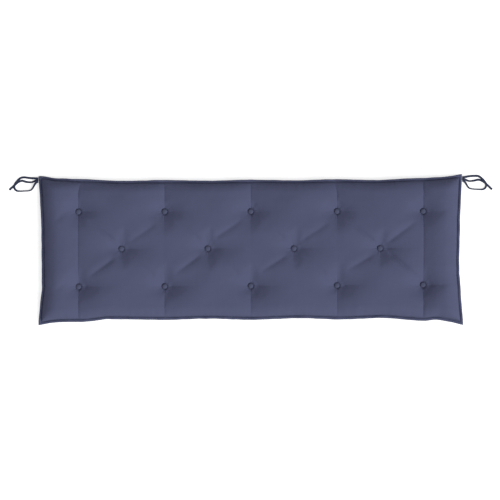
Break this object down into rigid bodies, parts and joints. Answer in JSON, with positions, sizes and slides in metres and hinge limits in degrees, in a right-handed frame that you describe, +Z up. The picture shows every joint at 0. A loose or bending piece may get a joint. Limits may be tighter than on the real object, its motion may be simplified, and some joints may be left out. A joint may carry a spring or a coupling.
{
  "type": "tufted bench cushion",
  "caption": "Long flat filled bench cushion with covered buttons, crossing creases, a stitched lip round its edge and tie tapes at two corners.",
  "frame": {"origin": "on the surface the cushion lies on, under the middle of the cover", "axes": "+X along the long side, +Y across towards the edge with the ties, +Z up out of the buttoned face"},
  "size_m": [1.7426, 0.5432, 0.0693],
  "materials": {
    "woven_polyester": "plain woven polyester, matt with a faint sheen",
    "button_cloth": "the same cloth drawn tight over a round shell",
    "tie_tape": "folded and stitched strip of the same cloth"
  },
  "bodies": {
    "root": {"cushion_cover": "woven_polyester", "button_upper_1": "button_cloth", "button_upper_2": "button_cloth", "button_upper_3": "button_cloth", "button_upper_4": "button_cloth", "button_upper_5": "button_cloth", "button_middle_1": "button_cloth", "button_middle_2": "button_cloth", "button_middle_3": "button_cloth", "button_middle_4": "button_cloth", "button_lower_1": "button_cloth", "button_lower_2": "button_cloth", "button_lower_3": "button_cloth", "button_lower_4": "button_cloth", "button_lower_5": "button_cloth", "tie_left_loop": "tie_tape", "tie_left_tail": "tie_tape", "tie_right_loop": "tie_tape", "tie_right_tail": "tie_tape"}
  },
  "joints": []
}
